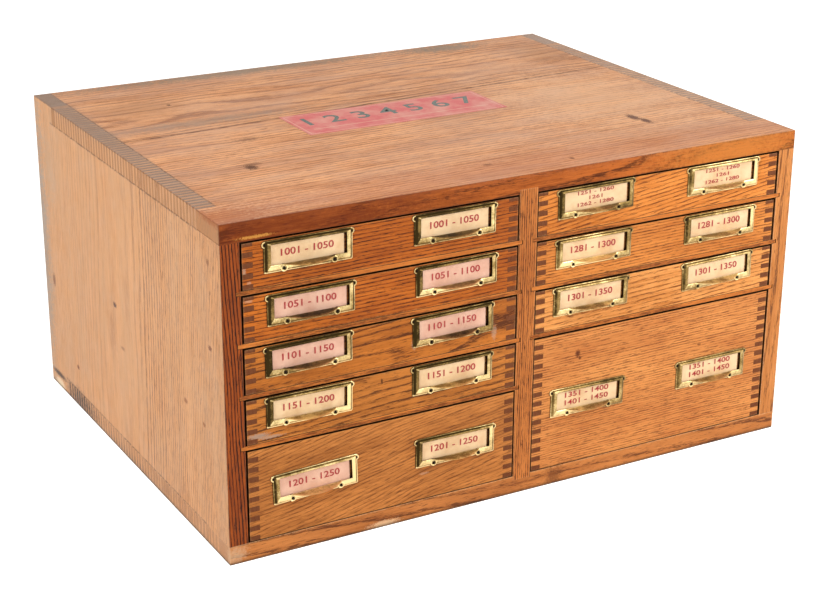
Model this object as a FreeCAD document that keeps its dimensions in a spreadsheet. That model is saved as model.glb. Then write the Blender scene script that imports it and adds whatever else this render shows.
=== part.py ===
import FreeCAD, Part
import math
import os
import re

# Oak drawer cabinet: a finger-jointed case on its flat underside, with two columns of drawers
# Millimetres. X runs to the right, Y to the back, Z up; the origin is the middle of the underside

doc = FreeCAD.newDocument("drawer_cabinet")
sheet = doc.addObject("Spreadsheet::Sheet", "Sizes")

SIZES = [
    # The case
    ("width", 610, "outside width of the case"),
    ("depth", 476, "outside depth of the case"),
    ("height", 318, "outside height of the case"),
    ("board", 18, "thickness of top, bottom and sides"),
    ("divider_thickness", 19.5, "thickness of the upright between the columns"),
    ("divider_shift", -1.3, "how far the upright stands off the middle"),
    ("case_finger", 3.6, "width of one finger of the case joints"),
    ("top_front", 48, "unjointed length of the top at the front"),
    ("bottom_front", 24, "unjointed length of the bottom at the front"),
    ("back_tongue", 54, "length of the one wide finger of each side at the back"),
    ("housing", 4.5, "depth of the grooves that shelves and upright stand in"),
    # The back
    ("back_thickness", 6, "thickness of the back panel"),
    ("back_inset", 1, "how far the back panel lies inside the rear edges"),
    ("rabbet", 9, "width of the rabbet that the back panel lies in"),
    ("panel_play", 0.3, "gap round a panel in its rabbet or groove"),
    ("nail_shank", 1.8, "diameter of a back nail"),
    ("nail_head", 4, "diameter of a back nail's head"),
    ("nail_head_height", 0.7, "thickness of a back nail's head"),
    ("nail_length", 20, "length of a back nail's shank"),
    ("nail_end", 45, "distance of the outer nails from the corners"),
    ("hole_play", 0.1, "radial clearance of a nail or pin in its hole"),
    # The openings
    ("small_opening", 44, "height of the opening of a small drawer"),
    ("shelf_thickness", 4, "thickness of the shelves that the drawers run on"),
    ("shelf_setback", 0.5, "how far the shelves lie behind the front edges"),
    ("shelf_end_gap", 0.5, "gap at each end of a shelf in its groove"),
    # The drawers
    ("side_gap", 1.6, "gap on each side of a drawer that stands in the middle"),
    ("left_shift", 0.6, "how far the left column's drawers stand to the right of the middle"),
    ("right_shift", -0.2, "how far the right column's drawers stand to the right of the middle"),
    ("top_gap", 2, "gap above a drawer"),
    ("running_gap", 0.3, "clearance under a drawer"),
    ("front_setback", 0.8, "how far the drawer fronts lie behind the front edges"),
    ("rear_gap", 0.5, "gap between a pushed-in drawer and the back panel"),
    ("front_thickness", 12, "thickness of a drawer front"),
    ("wall", 10, "thickness of drawer sides and backs"),
    ("drawer_finger", 4.8, "height of one finger of the drawer joints"),
    ("floor_thickness", 4, "thickness of a drawer's floor"),
    ("floor_height", 5, "height of a drawer's floor above its lower edge"),
    ("floor_groove", 5, "depth of the groove that the floor lies in"),
    # The pulls
    ("pull_width", 84, "width of a pull's flange"),
    ("pull_height", 28.8, "height of a pull's flange"),
    ("sheet_brass", 0.8, "thickness of the stamped brass"),
    ("face_height", 2.6, "height of a pull's raised face above the wood"),
    ("flange_edge", 0.8, "flat edge of the flange outside the raised face"),
    ("bevel", 2, "width of the bevel at the sides and bottom of the raised face"),
    ("top_bevel", 1, "width of the bevel at the top of the raised face"),
    ("side_bar", 6, "width of the bars beside the window"),
    ("top_bar", 3.4, "width of the bar over the window"),
    ("bottom_bar", 6.8, "width of the bar under the window"),
    ("ear_spacing", 82, "distance between the upper pins"),
    ("ear_drop", 3.2, "distance of the upper pins from the flange's top"),
    ("ear_radius", 2.9, "radius of the ears round the upper pins"),
    ("ear_seat", 1.9, "radius of the flat seat round an upper pin"),
    ("boss_spacing", 48, "distance between the lower pins"),
    ("boss_rise", 3.2, "distance of the lower pins from the flange's bottom"),
    ("boss_radius", 3.5, "radius of the bosses round the lower pins"),
    ("lip_width", 50, "width of the finger lip where it leaves the face"),
    ("lip_reach", 10, "how far the finger lip stands out of the face"),
    ("lip_thickness", 1, "thickness of the finger lip"),
    ("pull_offset", 73, "distance of a pull's middle from the middle of its column"),
    ("pull_drop", 3.8, "distance of the upper pins from a small drawer's top"),
    # The pins and cards
    ("pin_shank", 1.3, "diameter of a pull's pin"),
    ("pin_head", 3, "diameter of a pin's head"),
    ("pin_head_height", 0.6, "thickness of a pin's head"),
    ("pin_length", 9, "length of a pin's shank"),
    ("card_margin", 1.8, "how far a card reaches behind the bars"),
    ("card_gap", 2, "gap between a card's end and the right bar"),
    ("card_thickness", 0.4, "thickness of a card"),
    ("card_pocket_margin", 2.2, "how far the card pocket reaches behind the bars"),
    # The label on the top
    ("label_width", 222, "width of the label"),
    ("label_depth", 72, "depth of the label"),
    ("label_thickness", 0.2, "thickness of the label"),
    ("label_right", -8, "place of the label's middle across"),
    ("label_back", 4.5, "place of the label's middle towards the back"),
]
LEFT_SMALL_DRAWERS = 4
RIGHT_SMALL_DRAWERS = 3

# A drawer's top finger is left out where less than this share of its height would be left
LEAST_FINGER_SHARE = 0.5

# How each pull was hung off its nominal place: to the right, up, and turned by degrees
HUNG = {
    "left_drawer_1": ((-1.5, -0.5, 0.0), (-2.5, 0.0, 0.0)),
    "left_drawer_2": ((0.5, -1.0, 0.0), (-0.5, -0.5, 0.5)),
    "left_drawer_3": ((-2.5, 0.0, 0.5), (-3.5, 0.0, 1.0)),
    "left_drawer_4": ((-2.5, 0.0, -0.5), (-3.5, 0.0, 0.0)),
    "left_drawer_5": ((1.5, 2.5, 2.0), (0.5, 3.0, -0.5)),
    "right_drawer_1": ((-1.5, 0.5, 0.5), (-0.5, 0.5, 0.0)),
    "right_drawer_2": ((-2.0, 0.0, 0.0), (-1.0, 0.0, 0.0)),
    "right_drawer_3": ((-3.0, 0.5, -0.5), (-1.0, 0.5, 1.0)),
    "right_drawer_4": ((-2.5, -2.5, -1.0), (-1.0, -3.0, 0.0)),
}

for row, (alias, number, meaning) in enumerate(SIZES, start=1):
    sheet.set(f"A{row}", meaning)
    sheet.set(f"B{row}", str(number))
    sheet.setAlias(f"B{row}", alias)
doc.recompute()

ALIASES = {alias for alias, number, meaning in SIZES}


def size(alias):
    """The number in one cell of the sheet."""
    return float(sheet.get(alias))


def formula(words):
    """The same formula with every alias pointed at the sheet."""
    def at_sheet(found):
        return f"Sizes.{found[0]}" if found[0] in ALIASES else found[0]

    return re.sub(r"[a-z_]+", at_sheet, words)


# Shared pieces of work

def place(thing, at):
    for axis, words in zip("xyz", at):
        thing.setExpression(f".Placement.Base.{axis}", formula(words))
    return thing


def box(name, low, lengths):
    """A box from its low corner and its three lengths, all of them formulas."""
    block = doc.addObject("Part::Box", name)
    for edge, words in zip(("Length", "Width", "Height"), lengths):
        block.setExpression(edge, formula(words))
    return place(block, low)


def rod_to_back(name, front_end, diameter, length):
    """A round rod that runs towards the back from the middle of its front end."""
    rod = doc.addObject("Part::Cylinder", name)
    rod.setExpression("Radius", formula(f"({diameter}) / 2"))
    rod.setExpression("Height", formula(length))
    rod.Placement.Rotation = FreeCAD.Rotation(FreeCAD.Vector(1, 0, 0), -90)
    return place(rod, front_end)


def group(name, things):
    bundle = doc.addObject("Part::Compound", name)
    bundle.Links = things
    return bundle


def joined(name, things):
    union = doc.addObject("Part::MultiFuse", name)
    union.Shapes = things
    return union


def cut(name, base, tool):
    rest = doc.addObject("Part::Cut", name)
    rest.Base = base
    rest.Tool = tool
    return rest


def copy_of(name, master, at, turn=0.0):
    """A linked copy of a master piece, turned in the plane of the drawer fronts."""
    link = doc.addObject("App::Link", name)
    link.LinkedObject = master
    rotation = FreeCAD.Rotation(FreeCAD.Vector(0, -1, 0), turn)
    link.LinkPlacement = FreeCAD.Placement(FreeCAD.Vector(), rotation)
    for axis, words in zip("xyz", at):
        link.setExpression(f".LinkPlacement.Base.{axis}", formula(words))
    return link


kept = {}


def keep(node, thing):
    """Gives a finished sub-part its name."""
    thing.Label = node
    kept[node] = thing
    return thing


# Places in the case, as formulas

case_front = "(-depth / 2)"
back_plane = "(depth / 2 - back_inset - back_thickness)"
inner_depth = "(depth - back_inset - back_thickness)"
ceiling = "(height - board)"
row_pitch = "(small_opening + shelf_thickness)"
divider_left = "(divider_shift - divider_thickness / 2)"
divider_right = "(divider_shift + divider_thickness / 2)"
inner_left = "(board - width / 2)"
inner_right = "(width / 2 - board)"
left_column = (inner_left, divider_left)
right_column = (divider_right, inner_right)


# The case: housings for the shelves

def shelf_blanks(side, column, count):
    """The grooves' room for the shelves of one column, one box for each shelf."""
    low, high = column
    return [
        box(
            f"{side}_housing_{number}",
            (f"{low} - housing", case_front, f"{ceiling} - {number} * {row_pitch}"),
            (f"{high} - {low} + 2 * housing", inner_depth, "shelf_thickness"),
        )
        for number in range(1, count + 1)
    ]


def make_shelves(side, column, count):
    low, high = column
    for number in range(1, count + 1):
        shelf = box(
            f"{side}_shelf_board_{number}",
            (
                f"{low} - housing + shelf_end_gap",
                f"{case_front} + shelf_setback",
                f"{ceiling} - {number} * {row_pitch}",
            ),
            (
                f"{high} - {low} + 2 * housing - 2 * shelf_end_gap",
                f"{inner_depth} - shelf_setback",
                "shelf_thickness",
            ),
        )
        keep(f"{side}_shelf_{number}", shelf)


left_housings = shelf_blanks("left", left_column, LEFT_SMALL_DRAWERS)
right_housings = shelf_blanks("right", right_column, RIGHT_SMALL_DRAWERS)
make_shelves("left", left_column, LEFT_SMALL_DRAWERS)
make_shelves("right", right_column, RIGHT_SMALL_DRAWERS)


# The case: room for the back panel and its nails

back_room = box(
    "back_room",
    (f"{inner_left} - rabbet", back_plane, "board - rabbet"),
    ("width - 2 * board + 2 * rabbet", "back_inset + back_thickness", "height - 2 * board + 2 * rabbet"),
)


def nail_places():
    """Middle of each back nail, clear of the shelves and the upright's ends."""
    middles = [f"({low} + {high}) / 2" for low, high in (left_column, right_column)]
    levels = ["board + small_opening / 2"]
    for number in (1, 3):
        levels.append(f"{ceiling} - {number} * {row_pitch} + shelf_thickness + small_opening / 2")
    places = []
    for across in ["nail_end - width / 2", "width / 2 - nail_end"] + middles:
        places.append((across, "board - rabbet / 2"))
        places.append((across, "height - board + rabbet / 2"))
    for up in levels:
        places.append(("board - width / 2 - rabbet / 2", up))
        places.append(("divider_shift", up))
        places.append(("width / 2 - board + rabbet / 2", up))
    return places


def make_back_nails():
    nails = []
    holes = []
    front_end = "(depth / 2 - back_inset - nail_length)"
    for number, (across, up) in enumerate(nail_places(), start=1):
        spot = (across, front_end, up)
        shank = rod_to_back(f"nail_shank_{number}", spot, "nail_shank", "nail_length")
        head_spot = (across, "depth / 2 - back_inset", up)
        head = rod_to_back(f"nail_head_{number}", head_spot, "nail_head", "nail_head_height")
        nails.append(joined(f"nail_{number}", [shank, head]))
        hole = rod_to_back(
            f"nail_hole_{number}",
            (across, f"{front_end} - hole_play", up),
            "nail_shank + 2 * hole_play",
            "nail_length + hole_play",
        )
        holes.append(hole)
    keep("back_nails", group("all_back_nails", nails))
    return group("nail_holes", holes)


nail_holes = make_back_nails()
panel = box(
    "back_board",
    (f"{inner_left} - rabbet + panel_play", back_plane, "board - rabbet + panel_play"),
    (
        "width - 2 * board + 2 * rabbet - 2 * panel_play",
        "back_thickness",
        "height - 2 * board + 2 * rabbet - 2 * panel_play",
    ),
)
keep("back_panel", cut("back_board_drilled", panel, nail_holes))


# The case: top, bottom, upright and sides

divider_board = box(
    "divider_board",
    (divider_left, case_front, "board - housing"),
    ("divider_thickness", inner_depth, "height - 2 * board + 2 * housing"),
)
divider_rooms = group("divider_rooms", left_housings + right_housings + [nail_holes])
keep("centre_divider", cut("divider_grooved", divider_board, divider_rooms))


def joint_stretches(front_length):
    """Start and length of each stretch of one case joint: the level board's, then the side's."""
    jointed = size("depth") - size(front_length) - size("back_tongue")
    count = int(jointed / (2 * size("case_finger")))
    level_board = [(case_front, front_length)]
    side = []
    for number in range(count):
        start = f"{case_front} + {front_length} + {2 * number} * case_finger"
        side.append((start, "case_finger"))
        level_board.append((f"{start} + case_finger", "case_finger"))
    jointed_already = f"{front_length} + {2 * count - 1} * case_finger"
    rest = f"depth - back_tongue - ({jointed_already})"
    level_board[-1] = (f"{case_front} + {jointed_already}", rest)
    side.append(("depth / 2 - back_tongue", "back_tongue"))
    return level_board, side


def joint_boxes(name, stretches, across, low):
    """One box for each stretch of a case joint."""
    return [
        box(f"{name}_{number}", (across, start, low), ("board", length, "board"))
        for number, (start, length) in enumerate(stretches, start=1)
    ]


def make_level_board(node, front_length, low):
    """The top or the bottom: a board without the sides' fingers, the upright and the back."""
    blank = box(f"{node}_blank", ("-width / 2", case_front, low), ("width", "depth", "board"))
    grooved = cut(f"{node}_grooved", blank, joined(f"{node}_rooms", [divider_board, back_room]))
    drilled = cut(f"{node}_drilled", grooved, nail_holes)
    level_board, side = joint_stretches(front_length)
    fingers = joint_boxes(f"{node}_left_finger", side, "-width / 2", low)
    fingers += joint_boxes(f"{node}_right_finger", side, inner_right, low)
    keep(node, cut(f"{node}_jointed", drilled, group(f"{node}_fingers", fingers)))


def make_side(side, low, housings):
    """One side: a board without the fingers of the top and bottom, the shelves and the back."""
    blank = box(f"{side}_side_blank", (low, case_front, "0"), ("board", "depth", "height"))
    grooved = cut(f"{side}_side_grooved", blank, joined(f"{side}_side_rooms", housings + [back_room]))
    drilled = cut(f"{side}_side_drilled", grooved, nail_holes)
    fingers = []
    for name, front_length, level in (("top", "top_front", ceiling), ("bottom", "bottom_front", "0")):
        level_board, own = joint_stretches(front_length)
        fingers += joint_boxes(f"{side}_{name}_finger", level_board, low, level)
    keep(f"{side}_side", cut(f"{side}_side_jointed", drilled, group(f"{side}_side_fingers", fingers)))


make_level_board("cabinet_top", "top_front", ceiling)
make_level_board("cabinet_bottom", "bottom_front", "0")
make_side("left", "-width / 2", left_housings)
make_side("right", inner_right, right_housings)


# The label on the top

label = box(
    "label_sheet",
    ("label_right - label_width / 2", "label_back - label_depth / 2", "height"),
    ("label_width", "label_depth", "label_thickness"),
)
keep("top_label", label)


# The pull: a stamped frame round a card, with ears, bosses and a bowed finger lip
# Its origin lies between the upper pins, on the wood, and it stands out towards -Y

flange_top = "ear_drop"
flange_bottom = "(ear_drop - pull_height)"
window_low = "(ear_drop - pull_height + bottom_bar)"
window_height = "(pull_height - bottom_bar - top_bar)"
window_left = "(side_bar - pull_width / 2)"
window_width = "(pull_width - 2 * side_bar)"
boss_level = "(ear_drop - pull_height + boss_rise)"
pin_room = "(pin_shank + 2 * hole_play)"
pin_spots = [
    ("-ear_spacing / 2", "0", "sheet_brass"),
    ("ear_spacing / 2", "0", "sheet_brass"),
    ("-boss_spacing / 2", boss_level, "face_height"),
    ("boss_spacing / 2", boss_level, "face_height"),
]


def make_raised_face():
    """A low block with four sloping sides, as the stamping rises from its flange."""
    face = doc.addObject("Part::Wedge", "raised_face")
    inner = {
        "Xmin": "flange_edge - pull_width / 2",
        "Xmax": "pull_width / 2 - flange_edge",
        "X2min": "flange_edge + bevel - pull_width / 2",
        "X2max": "pull_width / 2 - flange_edge - bevel",
        "Zmin": f"{flange_bottom} + flange_edge",
        "Zmax": f"{flange_top} - flange_edge",
        "Z2min": f"{flange_bottom} + flange_edge + bevel",
        "Z2max": f"{flange_top} - flange_edge - top_bevel",
        "Ymin": "0",
        "Ymax": "face_height",
    }
    for name, words in inner.items():
        face.setExpression(name, formula(words))
    mirrored = doc.addObject("Part::Mirroring", "raised_face_outwards")
    mirrored.Source = face
    mirrored.Normal = FreeCAD.Vector(0, 1, 0)
    return mirrored


def make_lip():
    """A thin bowed tongue, the part of a round disc that stands out in front of the face."""
    bow = doc.addObject("Part::Cylinder", "lip_bow")
    radius = "((lip_width * lip_width / 4 + lip_reach * lip_reach) / (2 * lip_reach))"
    bow.setExpression("Radius", formula(radius))
    bow.setExpression("Height", formula("lip_thickness"))
    place(bow, ("0", f"{radius} - lip_reach - face_height", f"{window_low} - lip_thickness"))
    room = box(
        "lip_room",
        ("-lip_width", "-2 * lip_reach - face_height", f"{window_low} - lip_thickness"),
        ("2 * lip_width", "2 * lip_reach + sheet_brass", "lip_thickness"),
    )
    lip = doc.addObject("Part::Common", "finger_lip")
    lip.Base = bow
    lip.Tool = room
    return lip


def make_pull_frame():
    flange = box(
        "flange",
        ("-pull_width / 2", "-sheet_brass", flange_bottom),
        ("pull_width", "sheet_brass", "pull_height"),
    )
    lobes = []
    seats = []
    holes = []
    for number, (across, up, face) in enumerate(pin_spots, start=1):
        radius = "boss_radius"
        if face == "sheet_brass":
            radius = "ear_radius"
            seat = (f"ear_seat_{number}", (across, "-face_height", up))
            seats.append(rod_to_back(*seat, "2 * ear_seat", f"face_height - {face}"))
        spot = (across, f"-{face}", up)
        lobes.append(rod_to_back(f"pin_lobe_{number}", spot, f"2 * {radius}", face))
        holes.append(rod_to_back(f"pin_hole_{number}", spot, pin_room, face))
    stamping = joined("stamping", [flange, make_raised_face(), make_lip()] + lobes)
    pocket = box(
        "card_pocket",
        (
            f"{window_left} - card_pocket_margin",
            "sheet_brass - face_height",
            f"{window_low} - card_pocket_margin",
        ),
        (
            f"{window_width} + 2 * card_pocket_margin",
            "face_height - sheet_brass",
            f"{window_height} + 2 * card_pocket_margin",
        ),
    )
    window = box(
        "window",
        (window_left, "-face_height", window_low),
        (window_width, "face_height", window_height),
    )
    opened = cut("stamping_opened", stamping, joined("card_room", [pocket, window]))
    return cut("pull_frame", opened, group("pin_holes", seats + holes))


def make_pin(number, across, up, face):
    shank = rod_to_back(f"pin_shank_{number}", (across, f"-{face}", up), "pin_shank", "pin_length")
    head = rod_to_back(
        f"pin_head_{number}", (across, f"-{face} - pin_head_height", up), "pin_head", "pin_head_height"
    )
    return joined(f"pin_{number}", [shank, head])


def make_pilot_hole(number, across, up, face):
    """The hole in the wood behind one pin."""
    depth_in_wood = f"pin_length - {face} + 2 * hole_play"
    return rod_to_back(f"pilot_{number}", (across, "-hole_play", up), pin_room, depth_in_wood)


pins = [make_pin(number, *spot) for number, spot in enumerate(pin_spots, start=1)]
pilot_holes = [make_pilot_hole(number, *spot) for number, spot in enumerate(pin_spots, start=1)]
pull_master = group("pull_with_pins", [make_pull_frame()] + pins)
pilot_master = group("pilot_holes", pilot_holes)
card_blank = box(
    "card_blank",
    (f"{window_left} - card_margin", "-card_thickness", f"{window_low} - card_margin"),
    (f"{window_width} + card_margin - card_gap", "card_thickness", f"{window_height} + 2 * card_margin"),
)
card_master = group("card", [card_blank])


# The drawers

def make_drawer(node, column, shift, floor_level, opening):
    """One box-jointed drawer from the column's two edges and its opening's level and height."""
    low, high = column
    left = f"({low} + side_gap + {shift})"
    across = f"({high} - {low} - 2 * side_gap)"
    right_wall = f"({high} - side_gap + {shift} - wall)"
    front = f"({case_front} + front_setback)"
    length = f"({inner_depth} - front_setback - rear_gap)"
    foot = f"({floor_level} + running_gap)"
    tall = f"({opening} - running_gap - top_gap)"

    combs = []
    fingers_high = drawer_height_number(node) / size("drawer_finger")
    count = math.floor((fingers_high - LEAST_FINGER_SHARE) / 2) + 1
    for edge, start in (("left", left), ("right", right_wall)):
        for number in range(count):
            combs.append(
                box(
                    f"{node}_{edge}_finger_{number}",
                    (start, front, f"{foot} + {2 * number} * drawer_finger"),
                    ("wall", length, "drawer_finger"),
                )
            )
    comb = group(f"{node}_comb", combs)
    groove = box(
        f"{node}_groove",
        (
            f"{left} + wall - floor_groove",
            f"{front} + front_thickness - floor_groove",
            f"{foot} + floor_height",
        ),
        (
            f"{across} - 2 * wall + 2 * floor_groove",
            f"{length} - front_thickness - wall + 2 * floor_groove",
            "floor_thickness",
        ),
    )

    pull_spots = []
    for (aside, lift, turn), sign in zip(HUNG[node], ("-", "+")):
        middle = f"({low} + {high}) / 2 + {shift} {sign} pull_offset + {aside}"
        level = f"{pin_level(node, foot, tall)} + {lift}"
        pull_spots.append(((middle, front, level), turn))

    def hang(kind, master):
        copies = [
            copy_of(f"{node}_{kind}_{number}", master, at, turn)
            for number, (at, turn) in enumerate(pull_spots, start=1)
        ]
        return group(f"{node}_{kind}s", copies)

    front_blank = box(f"{node}_front_blank", (left, front, foot), (across, "front_thickness", tall))
    front_jointed = cut(f"{node}_front_jointed", front_blank, comb)
    front_grooved = cut(f"{node}_front_grooved", front_jointed, groove)
    front_board = cut(f"{node}_front_drilled", front_grooved, hang("pilot", pilot_master))
    keep(f"{node}_front", front_board)

    back_blank = box(
        f"{node}_back_blank", (left, f"{front} + {length} - wall", foot), (across, "wall", tall)
    )
    back_jointed = cut(f"{node}_back_jointed", back_blank, comb)
    back_board = cut(f"{node}_back_grooved", back_jointed, groove)

    mates = joined(f"{node}_mates", [front_jointed, back_jointed, groove])
    sides = [
        cut(
            f"{node}_{edge}_wall",
            box(f"{node}_{edge}_blank", (start, front, foot), ("wall", length, tall)),
            mates,
        )
        for edge, start in (("left", left), ("right", right_wall))
    ]
    keep(f"{node}_sides_and_back", group(f"{node}_walls", sides + [back_board]))

    floor = box(
        f"{node}_floor",
        (
            f"{left} + wall - floor_groove + panel_play",
            f"{front} + front_thickness - floor_groove + panel_play",
            f"{foot} + floor_height",
        ),
        (
            f"{across} - 2 * wall + 2 * floor_groove - 2 * panel_play",
            f"{length} - front_thickness - wall + 2 * floor_groove - 2 * panel_play",
            "floor_thickness",
        ),
    )
    keep(f"{node}_bottom", floor)
    keep(f"{node}_pulls", hang("pull", pull_master))
    keep(f"{node}_cards", hang("card", card_master))


def small_count(node):
    return LEFT_SMALL_DRAWERS if node.startswith("left") else RIGHT_SMALL_DRAWERS


def is_small(node):
    return int(node[-1]) <= small_count(node)


def drawer_height_number(node):
    """The height of a drawer as a number, for counting its fingers."""
    opening = size("small_opening")
    if not is_small(node):
        pitch = opening + size("shelf_thickness")
        opening = size("height") - 2 * size("board") - small_count(node) * pitch
    return opening - size("running_gap") - size("top_gap")


def pin_level(node, foot, tall):
    """Height of the upper pins: near the top of a small front, the pull centred on a large one."""
    if is_small(node):
        return f"{foot} + {tall} - pull_drop"
    return f"{foot} + {tall} / 2 + pull_height / 2 - ear_drop"


for side, column in (("left", left_column), ("right", right_column)):
    shift = f"{side}_shift"
    count = small_count(side)
    for number in range(1, count + 1):
        floor_level = f"({ceiling} - {number} * {row_pitch} + shelf_thickness)"
        make_drawer(f"{side}_drawer_{number}", column, shift, floor_level, "small_opening")
    deep_opening = f"(height - 2 * board - {count} * {row_pitch})"
    make_drawer(f"{side}_drawer_{count + 1}", column, shift, "board", deep_opening)


# Checks before anything is written

doc.recompute()
for thing in doc.Objects:
    if "Invalid" in thing.State or "Error" in thing.State:
        raise RuntimeError(f"{thing.Name} did not build: {thing.State}")
for node, thing in kept.items():
    if thing.Shape.isNull() or not thing.Shape.isValid():
        raise RuntimeError(f"{node} has no valid shape")

os.makedirs("parts", exist_ok=True)
for node, thing in kept.items():
    thing.Shape.exportStep(f"parts/{node}.step")
    print(f"{node}: {len(thing.Shape.Solids)} solid(s), {thing.Shape.Volume / 1000:.2f} cm3")
print(f"{len(kept)} sub-parts written")
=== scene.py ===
import math

import bmesh
import bpy
from mathutils import Matrix, Vector, noise


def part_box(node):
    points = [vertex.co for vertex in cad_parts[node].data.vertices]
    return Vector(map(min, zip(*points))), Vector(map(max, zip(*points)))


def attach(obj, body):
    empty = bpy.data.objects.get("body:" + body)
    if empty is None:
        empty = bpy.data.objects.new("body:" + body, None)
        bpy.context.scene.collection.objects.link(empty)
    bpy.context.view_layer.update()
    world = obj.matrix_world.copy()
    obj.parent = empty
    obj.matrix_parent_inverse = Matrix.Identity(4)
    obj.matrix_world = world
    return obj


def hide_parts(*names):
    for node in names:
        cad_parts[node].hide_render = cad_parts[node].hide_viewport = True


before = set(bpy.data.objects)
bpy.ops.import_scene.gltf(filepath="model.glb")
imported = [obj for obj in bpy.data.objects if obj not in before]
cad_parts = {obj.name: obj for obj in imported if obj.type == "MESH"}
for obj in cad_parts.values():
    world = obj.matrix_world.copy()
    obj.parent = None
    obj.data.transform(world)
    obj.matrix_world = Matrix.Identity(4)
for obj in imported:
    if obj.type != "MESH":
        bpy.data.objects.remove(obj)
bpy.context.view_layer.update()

# An oak drawer cabinet with brass card-holder pulls, on a pale studio floor
# Metres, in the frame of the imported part; lengths written in millimetres are multiplied by MM

MM = 0.001
LEFT_DRAWERS = 5
RIGHT_DRAWERS = 4
DRAWERS = [f"left_drawer_{number}" for number in range(1, LEFT_DRAWERS + 1)]
DRAWERS += [f"right_drawer_{number}" for number in range(1, RIGHT_DRAWERS + 1)]


# Shared pieces of work

def hex_colour(text):
    """An sRGB colour written as six hex digits, as the linear colour that shaders take."""
    values = [int(text[start:start + 2], 16) / 255 for start in (0, 2, 4)]
    linear = [value / 12.92 if value <= 0.04045 else ((value + 0.055) / 1.055) ** 2.4 for value in values]
    return (*linear, 1.0)


def add(tree, kind, *inputs, named=None, stops=None, **settings):
    """Adds a shader node and returns its output; inputs are numbers, hex colours or other outputs."""
    prefix = "" if kind.startswith("Node") else "ShaderNode"
    node = tree.nodes.new(prefix + kind)
    for name, value in settings.items():
        setattr(node, name, value)
    sockets = [socket for socket in node.inputs if socket.enabled]
    filled = list(zip(sockets, inputs))
    filled += [(node.inputs[name], value) for name, value in (named or {}).items()]
    for socket, value in filled:
        if isinstance(value, bpy.types.NodeSocket):
            tree.links.new(value, socket)
        elif value is not None:
            socket.default_value = hex_colour(value) if isinstance(value, str) else value
    if stops:
        elements = node.color_ramp.elements
        while len(elements) < len(stops):
            elements.new(0.5)
        for element, (position, colour) in zip(elements, stops):
            element.position = position
            element.color = hex_colour(colour)
    return next((socket for socket in node.outputs if socket.enabled), None)


def new_material(name):
    """An empty material and its node tree."""
    material = bpy.data.materials.new(name)
    material.use_nodes = True
    material.node_tree.nodes.clear()
    return material, material.node_tree


def millimetres(tree, centre=(0.0, 0.0, 0.0)):
    """The place on a piece in millimetres from a point given in metres."""
    place = add(tree, "TexCoord").node.outputs["Object"]
    local = add(tree, "VectorMath", place, tuple(centre), operation="SUBTRACT")
    return add(tree, "VectorMath", local, named={"Scale": 1 / MM}, operation="SCALE")


def close_material(tree, colour, roughness, height=None, relief=0.0, **more):
    """The last nodes of a material: bump as deep as the relief in millimetres, surface and output."""
    named = {"Base Color": colour, "Roughness": roughness, **more}
    if height is not None:
        bump = {"Height": height, "Distance": relief * MM, "Strength": 1.0}
        named["Normal"] = add(tree, "Bump", named=bump)
    surface = add(tree, "BsdfPrincipled", named=named)
    add(tree, "OutputMaterial", surface)


def place_mesh(name, bm, material):
    """Turns a finished bmesh into an object of the scene."""
    mesh = bpy.data.meshes.new(name)
    bm.to_mesh(mesh)
    bm.free()
    mesh.materials.append(material)
    placed = bpy.data.objects.new(name, mesh)
    bpy.context.scene.collection.objects.link(placed)
    return placed


def make_piece(name, bm, body, material, nodes=()):
    """A finished piece of the cabinet: it rides on its body and stands for its CAD nodes."""
    bmesh.ops.recalc_face_normals(bm, faces=bm.faces)
    piece = place_mesh(name, bm, material)
    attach(piece, body)
    if nodes:
        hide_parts(*nodes)
    return piece


def smooth_by_angle(piece, degrees):
    """Shades a piece smooth, but for the edges where its faces meet at more than this angle."""
    piece.data.shade_smooth()
    piece.data.set_sharp_from_angle(angle=math.radians(degrees))


def soften(bm, parts, width, segments, affect="EDGES"):
    """Bevels edges, or rounds corners within their face, by a width in the mesh's own unit."""
    return bmesh.ops.bevel(
        bm, geom=parts, offset=width, offset_type="OFFSET", segments=segments,
        profile=0.5, affect=affect, clamp_overlap=True, material=-1,
    )


def to_sides(tree, parts, sizes):
    """How far inside each pair of sides a place is, in millimetres; the sizes are in metres."""
    distances = []
    for part, size in zip(parts, sizes):
        from_middle = add(tree, "Math", part, operation="ABSOLUTE")
        distances.append(add(tree, "Math", size / 2 / MM, from_middle, operation="SUBTRACT"))
    return distances


# Oak: one node group draws the grain of any board, in millimetres along, across and through it
# Plain-sawn oak, planed, varnished long ago and rubbed since: long bands where the rings meet the face,
# dark dashes of open pores in the early wood, streaky fibre, and a low, broken shine

# The length of one wave of each pattern along, across and through the grain, in millimetres
WANDER_SIZE = (250.0, 71.0, 71.0)
STREAK_SIZE = (36.0, 3.3, 3.3)
FIBRE_SIZE = (50.0, 1.25, 1.25)
DRIFT_SIZE = (125.0, 33.0, 33.0)
# Real pores are a third as wide, too fine to show in a picture of the whole cabinet, so these are coarser
PORE_SIZE = (11.0, 1.1, 1.1)
# Patterns of use: haze drawn out along the grain, and the same size every way, blotches of the varnish,
# nicks at edges and specks in marks
HAZE_SIZE = (111.0, 33.0, 33.0)
BLOTCH_SIZE = 17.0
NICK_SIZE = 3.3
SPECK_SIZE = 1.1

# The node group's inputs: places and numbers are what a board's look says under the same words in small
# letters, and the colours are the look's three tones
OAK_PLACES = ("Pith", "Lean")
OAK_NUMBERS = ("Ring", "Wander", "Bands", "Pores", "Drift", "Mottle")
OAK_COLOURS = ("Light", "Dark", "Pore Colour")


def drawn_out(tree, place, lengths, detail, roughness):
    """Noise whose waves have their own length each way."""
    waves = add(tree, "VectorMath", place, tuple(1 / length for length in lengths), operation="MULTIPLY")
    return add(tree, "TexNoise", waves, 1.0, detail, roughness)


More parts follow.
